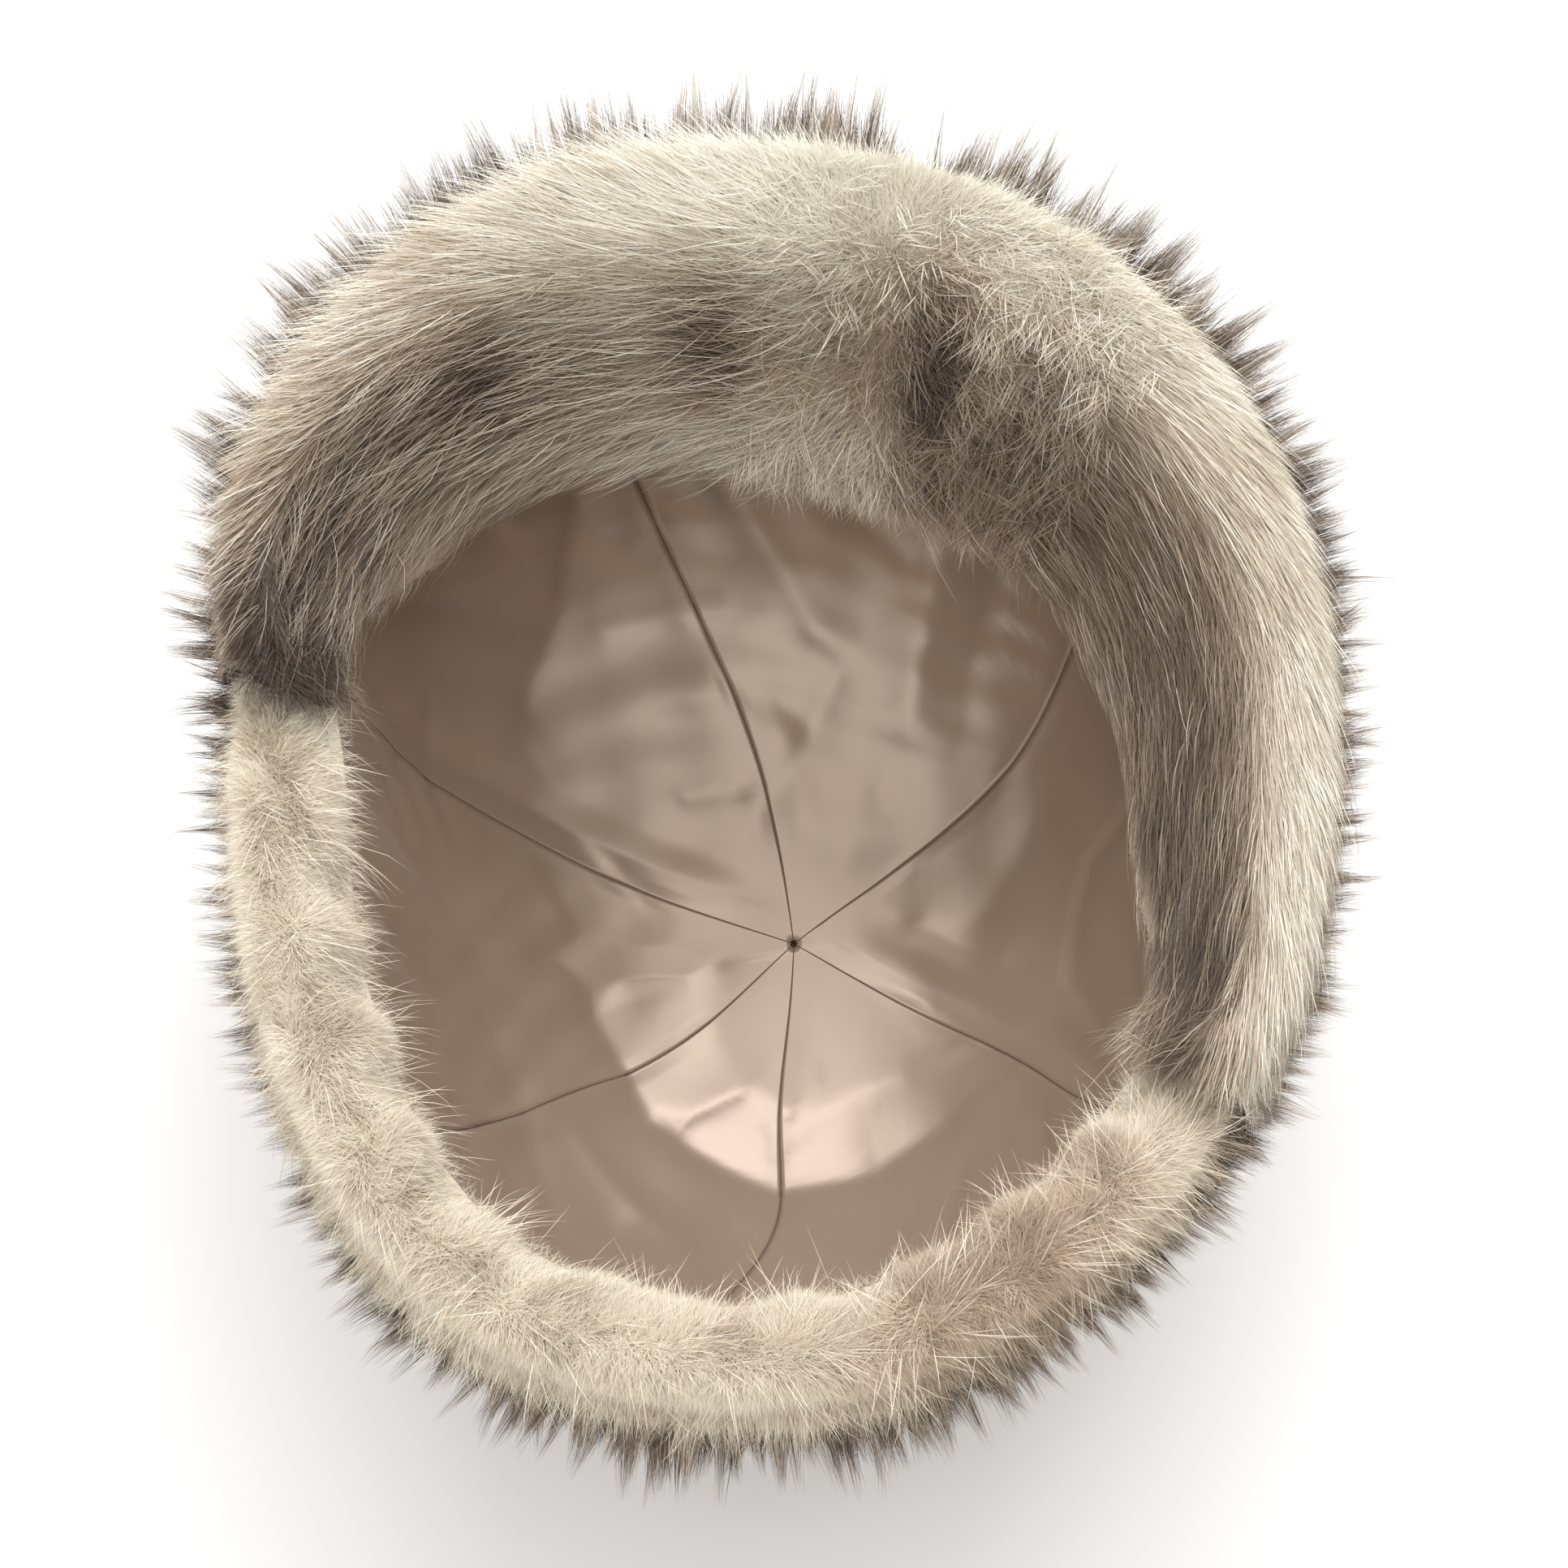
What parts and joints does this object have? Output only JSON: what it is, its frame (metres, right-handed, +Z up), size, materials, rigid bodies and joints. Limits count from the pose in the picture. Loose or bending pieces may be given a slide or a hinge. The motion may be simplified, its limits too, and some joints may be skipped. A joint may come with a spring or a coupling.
{
  "type": "mink fur hat",
  "caption": "Soft fur hat with a domed crown, a narrow rolled front rim, a neck flap folded inside, and a satin lining of gores.",
  "frame": {"origin": "middle of the hat's outline seen from above, on the surface that it lies on", "axes": "+Z up, out of the head opening; +Y towards the back of the head; +X to the right of the picture"},
  "size_m": [0.2212, 0.2702, 0.1364],
  "materials": {
    "crown_fur": "long mink fur, pale beige with grey-brown tips, guard hairs over dense underfur",
    "rim_fur": "short pale cream mink fur, woolly, with sparse long guard hairs",
    "flap_fur": "long silky mink fur, cream at the crest and dark grey-brown along the back stripe",
    "satin_lining": "taupe satin with a soft sheen, seams stitched in dark brown"
  },
  "bodies": {
    "root": {"fur_crown": "crown_fur", "front_rim": "rim_fur", "neck_flap": "flap_fur", "lining_gore_1": "satin_lining", "lining_gore_2": "satin_lining", "lining_gore_3": "satin_lining", "lining_gore_4": "satin_lining", "lining_gore_5": "satin_lining", "lining_gore_6": "satin_lining"}
  },
  "joints": []
}
